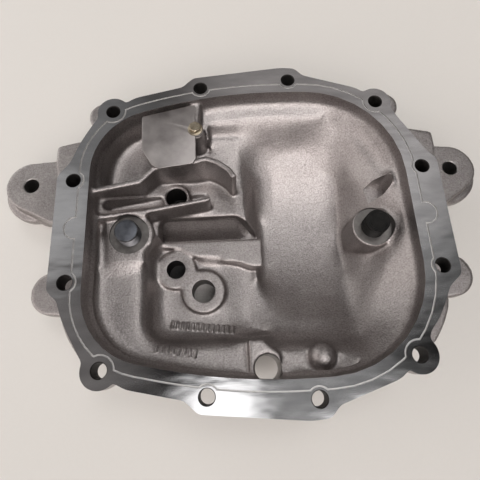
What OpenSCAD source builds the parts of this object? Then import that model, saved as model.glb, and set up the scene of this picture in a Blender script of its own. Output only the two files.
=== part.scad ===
// Differential cover: one aluminium casting with an oil baffle and its plugs.
// The machined flange face is z = 0, the open side faces +Z and the back faces -Z.
// The origin is the middle of the bolt pattern, and +Y is the top of the cover.

/* [Bolt pattern] */
// Half the distance between the corner bolts across the cover
corner_bolt_x = 101; // [99:0.5:103]
// Half the distance between the corner bolts up the cover
corner_bolt_y = 94.5; // [93:0.5:96]
// Half the distance between the side bolts across the cover
side_bolt_x = 127; // [126:0.5:128]
// Half the distance between the side bolts up the cover
side_bolt_y = 37.5; // [34:0.5:41]
// Place across of the left pair of middle bolts
left_mid_bolt_x = -34; // [-37:0.5:-31]
// Half the distance between the left pair of middle bolts
left_mid_bolt_y = 113; // [112:0.5:114]
// Place across of the right pair of middle bolts
right_mid_bolt_x = 35; // [32:0.5:38]
// Half the distance between the right pair of middle bolts
right_mid_bolt_y = 117.5; // [116.5:0.5:118.5]
// Diameter of each flange bolt hole
bolt_hole_d = 10; // [9:0.5:11]

/* [Flange] */
// Thickness of the flange
flange_t = 14; // [12:0.5:16]
// Radius of the ear of metal round a flange bolt
bolt_lobe_r = 12; // [11:0.5:13]
// Half width of the flange across its sides
flange_side_x = 138.8; // [138:0.2:140]
// Height of the long tab above the cover's middle
tab_y = 129; // [127:0.5:131]
// Width of the groove for liquid sealant
groove_w = 1.2; // [0.8:0.1:1.6]
// Depth of the groove for liquid sealant
groove_depth = 0.8; // [0.5:0.1:1.2]
// Distance from the opening's edge to the groove
groove_out = 7; // [6:0.5:8]
// Distance from a side or middle bolt to the groove that runs round it
groove_bolt_r = 7.4; // [7:0.2:8]
// Distance from a corner bolt to the groove that runs round it
groove_corner_r = 9.4; // [8.6:0.2:10]

/* [Walls] */
// Thickness of the cast walls
wall = 6; // [5:0.5:7]
// Depth of the shelf that runs under the flange
shelf_depth = 17; // [15:0.5:19]
// Depth of the left shelf, which carries the level plug
left_shelf_depth = 23; // [21:0.5:25]
// Depth of the floor beside the ring gear trough
floor_depth = 43; // [40:0.5:45]
// Depth of the lower left floor
low_floor_depth = 46; // [44:0.5:48]

/* [Ring gear trough] */
// Radius of the trough that clears the ring gear
trough_r = 112; // [109:0.5:114]
// Height of the axle's axis above the flange face
axle_z = 48; // [46:0.5:50]
// Place across of the trough's middle
trough_x = 42; // [40:0.5:44]
// Width of the trough between the middles of its sides
trough_w = 74; // [70:1:76]
// Radius that blends the trough's sides
trough_blend = 10; // [8:1:12]
// Steepness of the trough's right side
trough_slope = 54; // [50:1:58]

/* [Oil ribs] */
// Depth of the oil dam's top edge below the flange face
dam_top = 4; // [3:0.25:6]
// Thickness of the oil dam
dam_t = 4.4; // [3.5:0.1:5.5]
// Depth of the oil box behind the dam
box_depth = 30; // [27:0.5:33]
// Depth of the ramp at its high end
ramp_high = 15; // [13:0.5:17]
// Depth of the ramp at its low end
ramp_low = 37; // [35:0.5:39]
// Thickness of the lower rib
low_rib_t = 3.4; // [3:0.1:4]
// Depth of the lower rib's top at its left end
low_rib_high = 12; // [10:0.5:14]
// Depth of the lower rib's top at its right end
low_rib_low = 25; // [23:0.5:27]
// Depth of the deep pocket under the lower rib
pocket_depth = 60; // [56:1:62]
// Depth of the flat ledge below the deep pocket
ledge_depth = 40; // [38:0.5:42]

/* [Plugs] */
// Distance of the left plug from the middle
left_plug_x = 90.5; // [88:0.5:92]
// Distance of the right plug from the middle
right_plug_x = 92.5; // [91:0.5:94.5]
// Place of the left plug up the cover
left_plug_y = 1; // [-2:0.1:3]
// Place of the right plug up the cover
right_plug_y = 0; // [-3:0.1:3]
// Radius of a plug's shank
plug_r = 8.8; // [8.7:0.1:9.6]
// Radius of the spot face round a plug
spot_r = 14.8; // [13:0.2:16]
// Depth of the left plug's spot face
left_spot_depth = 21; // [19:0.5:22.5]
// Depth of the right plug's spot face
right_spot_depth = 23.5; // [22.5:0.5:27]
// Depth of the lip that stands round the right plug's spot face
right_lip_depth = 22; // [20:0.5:22]
// Depth of the notch above the right plug
notch_depth = 32; // [29:0.5:33]
// Width of the lip round the right plug's spot face
right_lip_t = 1.2; // [0.8:0.1:2.5]
// Depth of a plug's tip below the flange face
plug_tip_depth = 10; // [7:0.5:13]
// Width across the flats of a plug's head
plug_head_af = 24; // [22:0.5:24]
// Thickness of a plug's head
plug_head_t = 6.5; // [5:0.5:7]
// Radius of a plug's collar
plug_collar_r = 14; // [13.9:0.1:14.5]
// Thickness of a plug's collar
plug_collar_t = 2; // [1.5:0.25:2.5]
// Thickness of the sealing ring under a plug
seal_t = 1.5; // [1:0.1:2]
// Running clearance of a plug in its bore
plug_fit = 0.05; // [0.03:0.01:0.1]
// Radius of the magnet in the left plug's tip
magnet_r = 8; // [6:0.25:8.25]
// Thickness of the magnet
magnet_t = 5; // [3:0.5:7]

/* [Drain and drillings] */
// Place across of the drain hole
drain_x = 6; // [3:0.5:9]
// Distance of the drain hole below the middle
drain_y = 98; // [96.5:0.5:98.5]
// Radius of the drain hole
drain_r = 9; // [8:0.25:9.5]
// Radius of the boss round the drain hole
drain_boss_r = 15; // [14:0.5:16]
// Depth of the drain boss's end
drain_boss_depth = 52; // [50:0.5:58]
// Radius of the oil drilling in the ramp
oil_hole_r = 8; // [7:0.25:8.5]
// Radius of the dark hole in the double boss
small_hole_r = 7.4; // [6.5:0.1:8]
// Radius of the wide hole in the double boss
wide_hole_r = 9; // [8:0.25:10]
// Height of the double boss above the floor
double_boss_h = 4; // [3:0.5:5.5]

/* [Baffle] */
// Thickness of the baffle plate
baffle_t = 2; // [1.5:0.1:2.5]
// Diameter of the baffle screw's thread
baffle_screw_d = 5; // [4:0.5:6]
// Width across the flats of the baffle screw's head
baffle_screw_af = 8; // [7:0.5:10]

/* [Mounting ears] */
// Place across of the left ear's bore
left_ear_x = 171; // [169:0.5:173]
// Place across of the right ear's bore
right_ear_x = 163; // [161:0.5:165]
// Place of both ear bores up the cover
ear_y = 48; // [45:0.5:51]
// Radius of an ear
ear_r = 20; // [18.5:0.5:21]
// Depth of an ear's front face
ear_depth = 26; // [24:0.5:28]
// Radius of the foot under an ear
ear_foot_r = 26; // [24:0.5:27]
// Diameter of an ear's bore
ear_bore_d = 11.6; // [10.5:0.1:13]
// Depth of the back plane that the ears and the plugs' heads end in
back_depth = 72; // [71:0.5:74]
// Radius of the blank lower lobes
lobe_r = 16; // [14:0.5:18]
// Place across of the blank lower lobes
lobe_x = 147.5; // [145:0.5:150]
// Depth of the blank lower lobes' front faces
lobe_depth = 28; // [26:0.5:30]

/* [Hidden] */
$fn = 48;
eps = 0.01;
over = 1;
lobe_y = -38.5;
lobe_t = 12;
baffle_screw_at = [-38.6, 77.4];
oil_hole_at = [-57.2, 34];
small_hole_at = [-59.2, -21.6];
wide_hole_at = [-38.1, -39.5];
baffle_top = baffle_t - dam_top;
left_plug_at = [-left_plug_x, left_plug_y];
right_plug_at = [right_plug_x, right_plug_y];
plug_seat = plug_head_t + plug_collar_t + seal_t - back_depth;
arc_steps = 8;

corner_bolts = [for (sx = [-1, 1], sy = [-1, 1]) [sx * corner_bolt_x, sy * corner_bolt_y]];
side_bolts = [for (sx = [-1, 1], sy = [-1, 1]) [sx * side_bolt_x, sy * side_bolt_y]];
left_mid_bolts = [for (sy = [-1, 1]) [left_mid_bolt_x, sy * left_mid_bolt_y]];
right_mid_bolts = [for (sy = [-1, 1]) [right_mid_bolt_x, sy * right_mid_bolt_y]];
bolts = concat(corner_bolts, side_bolts, left_mid_bolts, right_mid_bolts);
lobed_bolts = concat(corner_bolts, side_bolts);

// The opening's corners as [x, y, radius] at sharp crossing points, anticlockwise from the lower left.
opening_corners = [
    [-116, -83.8, 49], [-15, -106.2, 400], [114.8, -104, 71.5],
    [114.8, 104, 71.5], [-24, 108.4, 350], [-116, 83.2, 50]
];

function unit(v) = v / norm(v);
function turn(a) = a > 180 ? a - 360 : (a < -180 ? a + 360 : a);
function xy(p) = [p[0], p[1]];

// Middle and the first and last angle of the arc that rounds the corner p between a and b.
function corner_arc(a, p, b) =
    let (u = unit(xy(a) - xy(p)), v = unit(xy(b) - xy(p)))
    let (half = acos(u * v) / 2)
    let (c = xy(p) + unit(u + v) * p[2] / sin(half), t = p[2] / tan(half))
    let (s = xy(p) + u * t - c, e = xy(p) + v * t - c)
    [c, atan2(s[1], s[0]), turn(atan2(e[1], e[0]) - atan2(s[1], s[0]))];

// A closed outline of rounded corners, grown outwards by grow where the corners are convex.
function rounded(corners, grow = 0, steps = arc_steps) = [
    for (i = [0 : len(corners) - 1])
        let (n = len(corners), p = corners[i])
        let (arc = corner_arc(corners[(i + n - 1) % n], p, corners[(i + 1) % n]))
        for (k = [0 : steps])
            let (a = arc[1] + arc[2] * k / steps, r = p[2] + (arc[2] > 0 ? grow : -grow))
            arc[0] + r * [cos(a), sin(a)]
];

// Corners of a box on plan, with one radius for its left side and one for its right.
function box_corners(xl, xr, yb, yt, rl, rr) = [[xl, yb, rl], [xr, yb, rr], [xr, yt, rr], [xl, yt, rl]];

// Unit vector to the left of a path at its point i.
function left_of(path, i) =
    let (d = unit(path[min(i + 1, len(path) - 1)] - path[max(i - 1, 0)]))
    [-d[1], d[0]];

// A solid through rings of equally many points, given from the lowest ring up.
module loft(rings) {
    n = len(rings[0]);
    m = len(rings);
    sides = [for (j = [0 : m - 2], i = [0 : n - 1])
        [j * n + i, (j + 1) * n + i, (j + 1) * n + (i + 1) % n, j * n + (i + 1) % n]];
    polyhedron(
        points = [for (ring = rings, p = ring) p],
        faces = concat([[for (i = [0 : n - 1]) i]], sides, [[for (i = [n - 1 : -1 : 0]) (m - 1) * n + i]])
    );
}

// Lifts a flat outline to the height z.
function at(z, outline) = [for (p = outline) [p[0], p[1], z]];

// A prism from the height z0 up to z1.
module prism(outline, z0, z1) {
    translate([0, 0, z0])
        linear_extrude(z1 - z0)
            polygon(outline);
}

// An upright cylinder from the height z0 up to z1.
module post(p, r, z0, z1) {
    translate([p[0], p[1], z0])
        cylinder(r = r, h = z1 - z0);
}

// A hexagonal prism with the given width across its flats.
module hex(p, af, z0, z1) {
    translate([p[0], p[1], z0])
        cylinder(r = af / sqrt(3), h = z1 - z0, $fn = 6);
}

// The point where a line from p touches the circle of radius r about c, on the given side.
function touch(p, c, r, side) =
    let (d = norm(p - c), a = atan2(p[1] - c[1], p[0] - c[0]) + side * acos(r / d))
    c + r * [cos(a), sin(a)];

// A lug: a round end joined by straight sides to two points on the body.
module lug(c, r, p, q, side, z0, z1) {
    post(c, r, z0, z1);
    prism([c, touch(p, c, r, -side), p, q, touch(q, c, r, side)], z0, z1);
}

/* Flange */

flange_tab = [
    [87, 108, 20],
    [47, 121.5, 6],
    [41, tab_y - 0.5, 7],
    [29, tab_y + 0.5, 30],
    [-39.5, tab_y - 6.3, 7],
    [-48, 114.6, 5],
    [-84, 106.5, 20]
];
right_upper_flank = [
    [flange_side_x, side_bolt_y + 6, 5], [133, side_bolt_y + 12, 6], [126, 62, 20],
    [120, 73, 20], [116, 80, 8], [111, 91, 5]
];
left_upper_flank = [
    [-111.5, 91, 5], [-117, 82, 8], [-122.4, 72, 20],
    [-126, 64, 20], [-130, 53, 5], [-flange_side_x, side_bolt_y + 4, 5]
];
left_lower_flank = [
    [-flange_side_x, -side_bolt_y - 5, 5], [-131, -50, 3], [-130, -54, 4], [-127, -62, 20],
    [-122, -72, 20], [-115, -84, 8], [-110.5, -92, 5]
];
right_lower_flank = [
    [107, -90, 4], [110.5, -80.5, 8], [118, -72, 20],
    [124, -62, 20], [129, -52, 4], [flange_side_x, -side_bolt_y - 6, 5]
];
flange_corners = concat(
    right_upper_flank, flange_tab, left_upper_flank, left_lower_flank,
    [for (i = [len(flange_tab) - 1 : -1 : 0]) [flange_tab[i][0], -flange_tab[i][1], flange_tab[i][2]]],
    right_lower_flank
);

module flange() {
    prism(rounded(flange_corners, 0, 5), -flange_t, 0);
    for (b = lobed_bolts)
        post(b, bolt_lobe_r, -flange_t, 0);
}

// The area inside the groove's middle line, grown by g.
module groove_field(g) {
    difference() {
        union() {
            prism(rounded(opening_corners, groove_out + g, 10), -groove_depth, over);
            for (sx = [-1, 1])
                post([sx * (opening_corners[3][0] + groove_out + 1), 1], 8 + g, -groove_depth, over);
        }
        for (b = corner_bolts)
            post(b, groove_corner_r - g, -groove_depth - over, 2 * over);
        for (b = concat(side_bolts, left_mid_bolts, right_mid_bolts))
            post(b, groove_bolt_r - g, -groove_depth - over, 2 * over);
    }
}

module groove() {
    difference() {
        groove_field(groove_w / 2);
        groove_field(-groove_w / 2);
    }
}

/* Cast walls */

// The pan under the opening, grown outwards and downwards by g.
module pan(g) {
    loft([
        at(-shelf_depth - g, rounded(opening_corners, g - 20)),
        at(-shelf_depth + 1.5 - g, rounded(opening_corners, g - 13)),
        at(-shelf_depth + 3.5 - g, rounded(opening_corners, g - 6)),
        at(-shelf_depth + 6.5 - g, rounded(opening_corners, g - 2)),
        at(-shelf_depth + 10 - g, rounded(opening_corners, g - 0.7)),
        at(g > 0 ? -flange_t + eps : over, rounded(opening_corners, g > 0 ? g - 3 : 0))
    ]);
}

// The bowl round the trough, with its long slope on the right.
module bowl(g) {
    loft([
        at(-floor_depth - g, rounded(box_corners(5 - g, 74 + g, -66 - g, 62 + g, 14 + g, 30 + g))),
        at(-floor_depth + 2 - g, rounded(box_corners(0 - g, 79 + g, -73 - g, 70 + g, 18 + g, 36 + g))),
        at(-floor_depth + 7 - g, rounded(box_corners(-4 - g, 86 + g, -79 - g, 77 + g, 22 + g, 42 + g))),
        at(-floor_depth + 16 - g, rounded(box_corners(-8 - g, 96 + g, -84 - g, 84 + g, 26 + g, 46 + g))),
        at(-floor_depth + 25 - g, rounded(box_corners(-11 - g, 105 + g, -88 - g, 91 + g, 30 + g, 49 + g))),
        at(-12, rounded(box_corners(-12 - g, 111 + g, -93, 94, 30 + g, 52)))
    ]);
}

// The lower left floor.
module low_floor(g) {
    loft([
        at(-low_floor_depth - g, rounded(box_corners(-68 - g, 20, -66 - g, 2, 12 + g, 8 + g))),
        at(-low_floor_depth + 2 - g, rounded(box_corners(-73 - g, 25, -72 - g, 2, 14 + g, 10 + g))),
        at(-low_floor_depth + 8 - g, rounded(box_corners(-77 - g, 32, -77 - g, 2, 16 + g, 14 + g))),
        at(-14, rounded(box_corners(-80 - g, 40, -82 - g, 2, 18 + g, 18 + g)))
    ]);
}

// The trough for the ring gear, a solid of revolution about the axle.
module trough(g) {
    half = trough_w / 2;
    shoulder = trough_r - 30;
    b = trough_blend;
    r0 = trough_r - b;
    slope = trough_slope;
    intersection() {
        translate([trough_x, 0, axle_z])
            rotate([0, 90, 0])
                rotate_extrude($fn = 96)
                    polygon(concat(
                        [[0, -half - b - g], [shoulder + g, -half - b - g]],
                        [for (a = [0 : 15 : 90]) [r0 + g + b * sin(a), -half - g + b - b * cos(a)]],
                        [for (k = [0 : 4]) let (a = slope * k / 4) [r0 + (b + g) * cos(a),
                            half - b + (b + g) * sin(a)]],
                        [for (x = [r0 + (b + g) * cos(slope) - 64 * sin(slope), 0])
                            [x, half - b + (b + g) * sin(slope) + 64 * cos(slope)]]
                    ));
        translate([-100, -120, -100])
            cube([260, 240, 100 - flange_t + (g > 0 ? eps : 2)]);
    }
}

// The shelf down the left side and along the bottom.
module low_shelf(g) {
    intersection() {
        prism(rounded([
            [-114.4 - g, -82.6 - g, 47.5 + g], [-15, -104.6 - g, 300], [78, -102 - g, 22],
                [78, -70, 4], [-70 + g, -70, 4],
            [-70, 14 + g, 6], [-114.4 - g, 14 + g, 4 + g]
        ]), -left_shelf_depth - g, g > 0 ? -flange_t + eps : -shelf_depth + 4);
        rotate([90, 0, 0])
            linear_extrude(260, center = true)
                polygon([[-150, 0], [-150, -60], [44 + g, -60], [44 + g, -left_shelf_depth - g],
                    [80 + g, -10], [80 + g, 0]]);
    }
}

// The floor above the double boss, which falls from the top shelf to the end of the ramp.
module upper_floor(g) {
    translate([-29 - g, 0, 0])
        rotate([90, 0, 90])
            linear_extrude(44 + g)
                polygon([
                    [-4, -14], [-4, -ramp_low - g], [48, -ramp_low - g], [60 + g / 2, -ramp_low + 4 - g],
                    [77 + g, -ramp_low + 10 - g], [84 + g, -ramp_low + 12.5 - g],
                        [90 + g, -shelf_depth - 1 - g], [92 + g, -14]
                ]);
}

/* Oil box, ramp and pockets, all on the left */

dam_near = [[-122, 27.7], [-79.9, 35.1], [-68.9, 45.9], [-41, 49], [-31.5, 51.5], [-24, 48.5],
    [-16.3, 42.4], [-12.5, 36]];
dam_far = [for (i = [len(dam_near) - 1 : -1 : 0]) dam_near[i] + dam_t * left_of(dam_near, i)];
low_rib_near = [[-112, 11.6], [-30.2, 24.6]];

module oil_box() {
    prism(rounded([
        [-111, 34.6, 5], [-82, 39.9, 2], [-71, 50.4, 2], [-42, 53.6, 4], [-30, 56.3, 3],
        [-28.6, 74, 8], [-39, 99.5, 4], [-80, 90.5, 20], [-111, 81, 40]
    ]), -box_depth, -dam_top);
}

// The ramp between the dam and the lower rib, with its floor falling to the right.
module ramp() {
    intersection() {
        prism(concat(dam_near, [[-12.5, 24], [-30.2, 24.6 + low_rib_t],
            [-112, 11.6 + low_rib_t]]), -60, -5);
        translate([0, 60, 0])
            rotate([90, 0, 0])
                linear_extrude(60)
                    polygon([[-114, 0], [-114, -ramp_high], [-63, -ramp_low + 7], [-34, -ramp_low],
                        [0, -ramp_low - 1], [0, 0]]);
    }
}

module slot() {
    prism(rounded([[-110, 20.2, 3.6], [-62, 27.8, 3.6], [-62, 35.4, 3.6],
        [-110, 27.9, 3.6]]), -ramp_low + 5, -5);
    prism(rounded([[-62, 30, 2], [-33, 34.4, 2], [-33, 38.8, 2], [-62, 34.6, 2]]), -ramp_low - 2.5, -20);
}

// The open space between the lower rib and the flat ledge.
module rib_bay() {
    prism([[-78, 1], [-78, 16.8], [-30.2, 24.6], [-29, 24.6 + low_rib_t], [2, 30], [12, 1]],
        -ramp_low, -shelf_depth + 4);
}

module deep_pocket(g) {
    prism(rounded([[-72 - g, 0.5 - g, 4 + g], [9 + g, 0.5 - g, 1.5 + g], [4 + g, 10, 6 + g],
        [-10, 19.5 + g, 14 + g], [-72 - g, 18.5 + g, 6 + g]]), -pocket_depth - g, -15);
}

module ledge() {
    prism(rounded([[-72, -4, 2], [-56, -5, 5], [-40, -15, 6], [-10, -18.5, 10], [0, -22.5, 3],
        [9, -22.5, 1], [9, 0.5, 1], [-72, 0.5, 2]]), -low_floor_depth - 3, -ledge_depth);
}

module dam() {
    prism(concat(dam_near, dam_far), -box_depth - wall, -dam_top);
}

module low_rib() {
    intersection() {
        prism(concat(low_rib_near, [[-30.8, 24.6 + low_rib_t],
            [-112.6, 11.6 + low_rib_t]]), -ramp_low - wall, -5);
        translate([0, 60, 0])
            rotate([90, 0, 0])
                linear_extrude(60)
                    polygon([[-114, -60], [-20, -60], [-20, -low_rib_low], [-114, -low_rib_high]]);
    }
}

/* Bosses */

module plug_pad() {
    post(left_plug_at, spot_r + 3.5, -left_shelf_depth - wall, -left_spot_depth + 2);
    prism(rounded(box_corners(-109, -78, -23.5, 14, 3, 3)), -left_shelf_depth - wall, -left_spot_depth + 2);
}

module screw_boss() {
    post(baffle_screw_at, 6.6, -box_depth - wall, -dam_top);
    prism([[-44, 80], [-36, 84], [-34, 104], [-42, 104]], -box_depth - wall, -dam_top);
}

module double_boss() {
    post(small_hole_at, 15.4, -low_floor_depth - 3, -low_floor_depth + double_boss_h);
    post(wide_hole_at, 16.8, -low_floor_depth - 3, -low_floor_depth + double_boss_h);
}

// The notch above the right plug, milled flat into the slope, grown by g.
module notch(g, z0, z1) {
    prism(rounded([[87 - g, 22 - g, 4 + g], [104 + g, 25 - g, 6 + g], [109.5 + g, 39.5 + g, 5 + g],
        [90 - g, 37 + g, 4 + g]]), z0, z1);
}

module drain_boss() {
    post([drain_x, -drain_y], drain_boss_r, -drain_boss_depth, -left_shelf_depth);
    prism([[drain_x - 12.5, -drain_y - 8], [drain_x + 9.5, -drain_y - 8], [drain_x + 8.5, -89],
        [drain_x - 2, -79], [drain_x - 12.5, -79]], -floor_depth - wall, -left_shelf_depth + 4);
}

module dome() {
    translate([43.5, -92, -left_shelf_depth])
        sphere(r = 9.8);
}

/* The outside */

module ear(side, x) {
    c = [side * x, ear_y];
    foot_t = 8;
    foot_z = -ear_depth - 20;
    lug(c, ear_r, [side * 138, 70], [side * 138, 8], side, -ear_depth - 14, -ear_depth);
    post(c, ear_foot_r, foot_z, foot_z + foot_t);
    prism([[side * 118, 62], [side * 118, 20], [side * (x - 4), ear_y - 22],
        [side * (x - 4), ear_y + 16]], foot_z, foot_z + foot_t);
    post(c, ear_r - 1, -back_depth, foot_z + 1);
    prism([[side * 110, ear_y + 4], [side * 110, ear_y - 4], [side * x, ear_y - 4],
        [side * x, ear_y + 4]], -ear_depth - 34, foot_z + 1);
    prism(rounded([[side * 148, 60, 2], [side * 148, 75, 3], [side * 130, 79, 3], [side * 112, 79, 2],
        [side * 112, 10, 2], [side * 138, 10, 2]]), -ear_depth - 14, -flange_t + eps);
}

module lower_lobe(side) {
    c = [side * lobe_x, lobe_y];
    lug(c, lobe_r, [side * 106, lobe_y + 34], [side * 98, lobe_y - 22],
        side, -lobe_depth - lobe_t, -lobe_depth);
}

module corner_boss(side) {
    post([side * 113, 101.3], 12, -flange_t - 16, -flange_t + eps);
    prism([[side * 104, 74], [side * 84, 94], [side * 105, 107.5], [side * 122, 90.5]],
        -flange_t - 16, -flange_t + eps);
}

// The solid under the oil box and the ramp.
// The cast edge that stands out below the machined face beside the lower corner bolts.
module skirt(side) {
    prism(rounded([for (p = [[110, -90, 4], [116.5, -87, 5], [121.5, -80, 20], [126, -73, 20],
        [130, -64, 10], [131.8, -55, 4], [118, -48, 4], [100, -75, 4]])
        [side * p[0], p[1], p[2]]]), -flange_t - 10, -8);
}

module box_back() {
    prism(rounded([[-118, 5, 8], [-22, 14, 8], [-20, 62, 8], [-24, 102, 8], [-78, 96, 20],
        [-118, 86, 44]]), -box_depth - wall, -flange_t);
    prism(rounded([[-116, 8, 8], [-84, 2, 8], [-8, 2, 8], [-8, 56, 16], [-66, 51, 8], [-84, 38, 8],
        [-116, 36, 8]]), -ramp_low - wall - 3, -flange_t);
}

module plug_boss(at, depth) {
    post(at, plug_collar_r + 3, plug_seat, -depth);
}

module hull_volume() {
    flange();
    pan(wall);
    bowl(wall);
    low_floor(wall);
    trough(wall);
    deep_pocket(wall);
    box_back();
    low_shelf(wall);
    upper_floor(wall);
    plug_boss(left_plug_at, left_shelf_depth + 1);
    plug_boss(right_plug_at, right_spot_depth);
    for (side = [-1, 1]) {
        lower_lobe(side);
        corner_boss(side);
        skirt(side);
    }
    ear(-1, left_ear_x);
    ear(1, right_ear_x);
    drain_boss();
    notch(wall - 1, -notch_depth - wall, -flange_t + eps);
    post(small_hole_at, 15.4, -low_floor_depth - 16, -low_floor_depth);
    post(wide_hole_at, 16.8, -low_floor_depth - 19, -low_floor_depth);
    post(oil_hole_at, oil_hole_r + 5, -ramp_low - 20, -ramp_low);
}

module cavity() {
    pan(0);
    bowl(0);
    low_floor(0);
    trough(0);
    deep_pocket(0);
    low_shelf(0);
    upper_floor(0);
    oil_box();
    ramp();
    slot();
    rib_bay();
}

module inside() {
    intersection() {
        union() {
            dam();
            low_rib();
            plug_pad();
            screw_boss();
            double_boss();
            ledge();
            dome();
            drain_boss();
            post(right_plug_at, spot_r + right_lip_t, -right_lip_depth - 34, -right_lip_depth);
            post(oil_hole_at, oil_hole_r + 2.6, -ramp_low - 2, -ramp_low + 7.5);
        }
        prism(rounded(opening_corners, 1.5), -back_depth, -1);
    }
}

module bores() {
    for (b = bolts)
        post(b, bolt_hole_d / 2, -back_depth, over);
    for (c = [[-left_ear_x, ear_y], [right_ear_x, ear_y]])
        post(c, ear_bore_d / 2, -back_depth - over, 0);
    for (at = [left_plug_at, right_plug_at]) {
        post(at, plug_r + plug_fit, -back_depth - over, 0);
        post(at, plug_collar_r + 1, -back_depth - over, plug_seat);
    }
    post(left_plug_at, spot_r, -left_spot_depth, 0);
    post(right_plug_at, spot_r, -right_spot_depth, 0);
    post([drain_x, -drain_y], drain_r, -back_depth - over, -flange_t / 2);
    post(oil_hole_at, oil_hole_r, -ramp_low - 16, -ramp_low + 20);
    post(small_hole_at, small_hole_r, -low_floor_depth - 13, 0);
    post(wide_hole_at, wide_hole_r, -low_floor_depth - 14, 0);
    notch(0, -notch_depth, -10);
    post(baffle_screw_at, baffle_screw_d / 2 + plug_fit, -dam_top - 14, 0);
    groove();
}

/* Nodes */

module cover_casting() {
    color([0.66, 0.64, 0.62])
        difference() {
            union() {
                difference() {
                    hull_volume();
                    cavity();
                }
                inside();
            }
            bores();
        }
}

module baffle_plate() {
    color([0.62, 0.6, 0.58])
        difference() {
            union() {
                prism(rounded([[-78.8, 62, 2], [-71.5, 49, 2], [-66, 45.5, 2], [-41, 48.6, 2.5],
                    [-38.7, 52, 2], [-38.7, 99.6, 1.5], [-79.5, 90.4, 1.5]]), -dam_top, baffle_top);
                post(baffle_screw_at, 6, -dam_top, baffle_top);
            }
            post(baffle_screw_at, baffle_screw_d / 2 + 0.3, -dam_top - over, baffle_top + over);
        }
}

module baffle_screw() {
    flange_h = 1.2;
    head_h = 4.2;
    color([0.6, 0.55, 0.46]) {
        post(baffle_screw_at, baffle_screw_d / 2, -dam_top - 12, baffle_top + flange_h);
        post(baffle_screw_at, baffle_screw_af * 0.72, baffle_top, baffle_top + flange_h);
        hex(baffle_screw_at, baffle_screw_af, baffle_top + flange_h - eps, baffle_top + head_h);
    }
}

// A plug with its shank inside, its collar against the seal and its hexagonal head outside.
module plug(at, pocket) {
    difference() {
        union() {
            post(at, plug_r, plug_seat - seal_t - eps, -plug_tip_depth);
            post(at, plug_collar_r, plug_seat - seal_t - plug_collar_t, plug_seat - seal_t);
            hex(at, plug_head_af, -back_depth, plug_head_t - back_depth + eps);
        }
        if (pocket)
            post(at, magnet_r + plug_fit, -plug_tip_depth - magnet_t, 0);
    }
}

module plug_seal(at) {
    difference() {
        post(at, plug_collar_r - 0.4, plug_seat - seal_t, plug_seat);
        post(at, plug_r + 0.2, plug_seat - seal_t - over, plug_seat + over);
    }
}

module level_plug() {
    color([0.3, 0.31, 0.34])
        plug(left_plug_at, true);
}

module plug_magnet() {
    color([0.25, 0.26, 0.29])
        post(left_plug_at, magnet_r, -plug_tip_depth - magnet_t, -plug_tip_depth);
}

module level_plug_seal() {
    color([0.72, 0.45, 0.3])
        plug_seal(left_plug_at);
}

module fill_plug() {
    color([0.07, 0.07, 0.07])
        plug(right_plug_at, false);
}

module fill_plug_seal() {
    color([0.72, 0.45, 0.3])
        plug_seal(right_plug_at);
}

cover_casting();
baffle_plate();
baffle_screw();
level_plug();
plug_magnet();
level_plug_seal();
fill_plug();
fill_plug_seal();
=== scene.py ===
"""Differential cover: the visual model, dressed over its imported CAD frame.

The casting's rounded blends are grown from the CAD solid, and every machined
surface is cut into it again afterwards, as in the real foundry part: cast
first, machined second. Sizes in the classes are in millimetres, apart from the
finishes and the places of the lamp and the camera, which are in metres.
"""

from __future__ import annotations

import logging
import math
import sys
from collections.abc import Sequence
from dataclasses import dataclass, field
from enum import Enum
from functools import cached_property

import bmesh
import bpy
import numpy as np
from mathutils import Matrix, Vector


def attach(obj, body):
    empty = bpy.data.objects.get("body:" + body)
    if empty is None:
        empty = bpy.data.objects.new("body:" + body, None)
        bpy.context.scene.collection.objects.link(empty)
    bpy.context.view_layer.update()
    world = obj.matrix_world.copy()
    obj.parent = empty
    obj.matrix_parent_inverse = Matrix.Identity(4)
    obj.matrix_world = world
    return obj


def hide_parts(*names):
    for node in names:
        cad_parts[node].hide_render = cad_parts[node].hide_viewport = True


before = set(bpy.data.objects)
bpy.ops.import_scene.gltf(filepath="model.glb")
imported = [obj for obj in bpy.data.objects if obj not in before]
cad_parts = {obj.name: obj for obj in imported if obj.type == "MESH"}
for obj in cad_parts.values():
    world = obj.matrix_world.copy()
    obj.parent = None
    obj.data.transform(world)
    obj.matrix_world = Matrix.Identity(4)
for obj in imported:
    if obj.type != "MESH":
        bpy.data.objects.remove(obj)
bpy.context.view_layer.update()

log = logging.getLogger("cover")

MM = 0.001
Pair = tuple[float, float]
Point2 = tuple[float, float]
Point3 = tuple[float, float, float]
Colour = tuple[float, float, float]

# A rounded bar seen from above: the two ends of its middle line and its half width.
Bar = tuple[float, float, float, float, float]

# Points of the CAD's meshes that lie nearer than this, in metres, are one point.
SAME_POINT = 2e-6

ON_AXIS = 1e-6
NO_LENGTH = 1e-9
FAR = 1e9

# Where the cutting shapes start and end that go through the part.
BELOW = -80.0
ABOVE = 5.0

HOLE_SIDES = 48
SEAT_SIDES = 72
PLUG_SIDES = 80

QUARTERS = tuple((sx, sy) for sx in (-1, 1) for sy in (-1, 1))
FLANGE_BOLTS: tuple[Point2, ...] = (
    *((sx * 101.0, sy * 94.5) for sx, sy in QUARTERS),
    *((sx * 127.0, sy * 37.5) for sx, sy in QUARTERS),
    *((-34.0, sy * 113.0) for sy in (-1, 1)),
    *((35.0, sy * 117.5) for sy in (-1, 1)),
)
LEVEL_PLUG_AT: Point2 = (-90.5, 1.0)
FILL_PLUG_AT: Point2 = (92.5, 0.0)


class Surface(Enum):
    """The finishes on the casting, by their place in its list of materials."""

    CAST = 0
    FACED = 1
    BORED = 2
    # DEEP is near black and DRILLED darker than BORED: both colours are painted shade in holes.
    DEEP = 3
    DRILLED = 4
    GROOVE = 5


# Materials


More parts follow.
